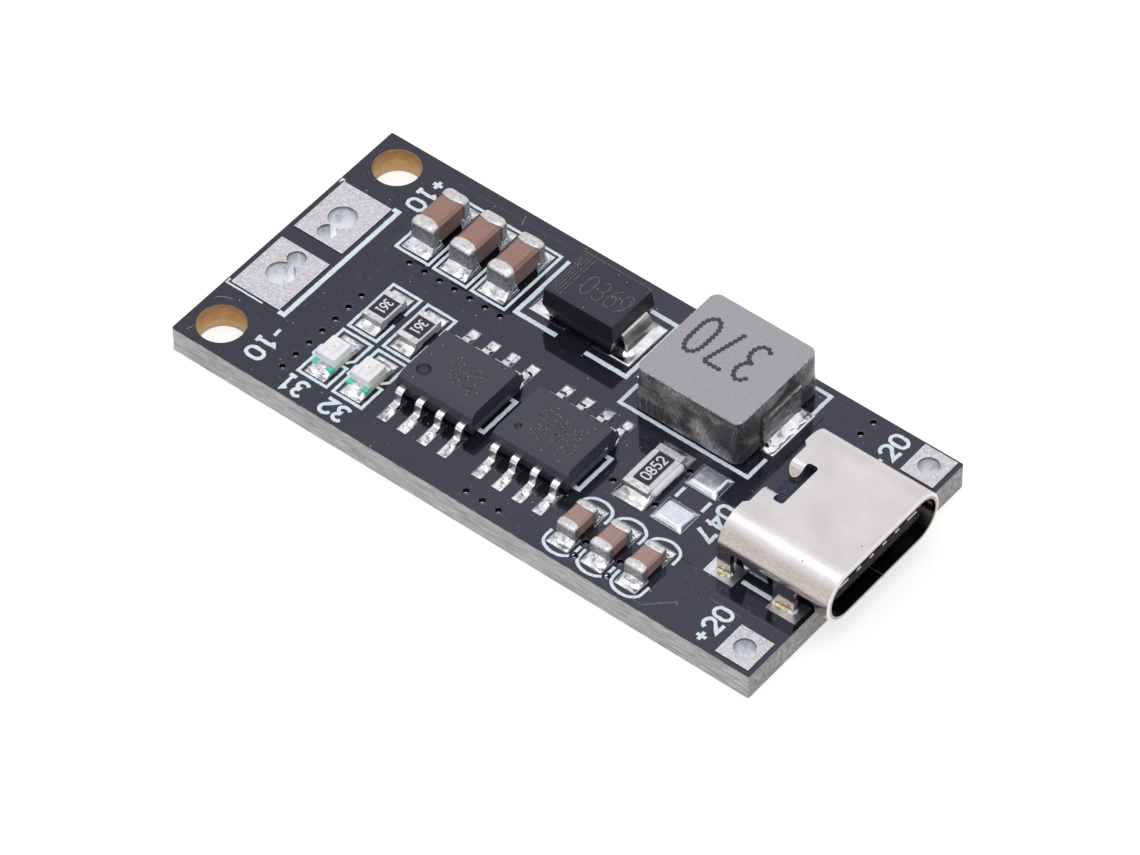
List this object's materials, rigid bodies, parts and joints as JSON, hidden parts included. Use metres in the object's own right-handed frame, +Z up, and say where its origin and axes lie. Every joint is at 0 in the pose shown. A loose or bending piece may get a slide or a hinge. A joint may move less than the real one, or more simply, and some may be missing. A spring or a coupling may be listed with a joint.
{
  "type": "lithium battery charger module",
  "caption": "Small circuit board that charges a lithium cell: power inlet with a folded metal shell at one end, battery wire pads and mounting holes at the other.",
  "frame": {"origin": "centre of the circuit board's underside", "axes": "+X along the board towards the power inlet, +Y across it, +Z up through the component side"},
  "size_m": [0.0377, 0.0172, 0.0048],
  "materials": {
    "solder": "bright solder",
    "pad_tin": "satin tin on copper foil",
    "chip_mould": "black moulding, fine grain",
    "lead_tin": "bright tin plating",
    "board_laminate": "dark solder mask, half gloss, on glass-epoxy laminate",
    "land_tin": "satin tin on copper foil",
    "diode_mould": "black moulding",
    "lamp_base": "cream laminate",
    "lamp_lens": "milky moulding",
    "terminal_tin": "grainy tin plating",
    "inductor_core": "pressed metal powder, fine grain",
    "inductor_lead": "dull tin plating",
    "inlet_plastic": "black moulding",
    "contact_alloy": "gilt spring alloy",
    "inlet_shell_steel": "nickel plating, satin",
    "capacitor_ceramic": "matte brown ceramic",
    "resistor_glaze": "black glaze",
    "resistor_ceramic": "white ceramic",
    "small_capacitor_ceramic": "matte tan ceramic"
  },
  "bodies": {
    "root": {"bare_land_solder": "solder", "battery_pads": "pad_tin", "charge_chip_body": "chip_mould", "charge_chip_leads": "lead_tin", "chip_solder": "solder", "circuit_board": "board_laminate", "component_lands": "land_tin", "diode_body": "diode_mould", "diode_leads": "lead_tin", "diode_solder": "solder", "indicator_1_base": "lamp_base", "indicator_1_lens": "lamp_lens", "indicator_1_terminals": "terminal_tin", "indicator_2_base": "lamp_base", "indicator_2_lens": "lamp_lens", "indicator_2_terminals": "terminal_tin", "indicator_solder": "solder", "inductor_body": "inductor_core", "inductor_solder": "solder", "inductor_terminals": "inductor_lead", "inlet_housing": "inlet_plastic", "inlet_leg_lands": "land_tin", "inlet_leg_solder": "solder", "inlet_lower_contacts": "contact_alloy", "inlet_shell": "inlet_shell_steel", "inlet_tail_solder": "solder", "inlet_upper_contacts": "contact_alloy", "input_pads": "pad_tin", "large_capacitor_1_body": "capacitor_ceramic", "large_capacitor_1_terminals": "terminal_tin", "large_capacitor_2_body": "capacitor_ceramic", "large_capacitor_2_terminals": "terminal_tin", "large_capacitor_3_body": "capacitor_ceramic", "large_capacitor_3_terminals": "terminal_tin", "large_capacitor_solder": "solder", "resistor_1_glaze": "resistor_glaze", "resistor_1_substrate": "resistor_ceramic", "resistor_1_terminals": "terminal_tin", "resistor_2_glaze": "resistor_glaze", "resistor_2_substrate": "resistor_ceramic", "resistor_2_terminals": "terminal_tin", "resistor_solder": "solder", "sense_resistor_glaze": "resistor_glaze", "sense_resistor_solder": "solder", "sense_resistor_substrate": "resistor_ceramic", "sense_resistor_terminals": "terminal_tin", "small_capacitor_1_body": "small_capacitor_ceramic", "small_capacitor_1_terminals": "terminal_tin", "small_capacitor_2_body": "small_capacitor_ceramic", "small_capacitor_2_terminals": "terminal_tin", "small_capacitor_3_body": "small_capacitor_ceramic", "small_capacitor_3_terminals": "terminal_tin", "small_capacitor_solder": "solder", "switch_chip_body": "chip_mould", "switch_chip_leads": "lead_tin"}
  },
  "joints": []
}
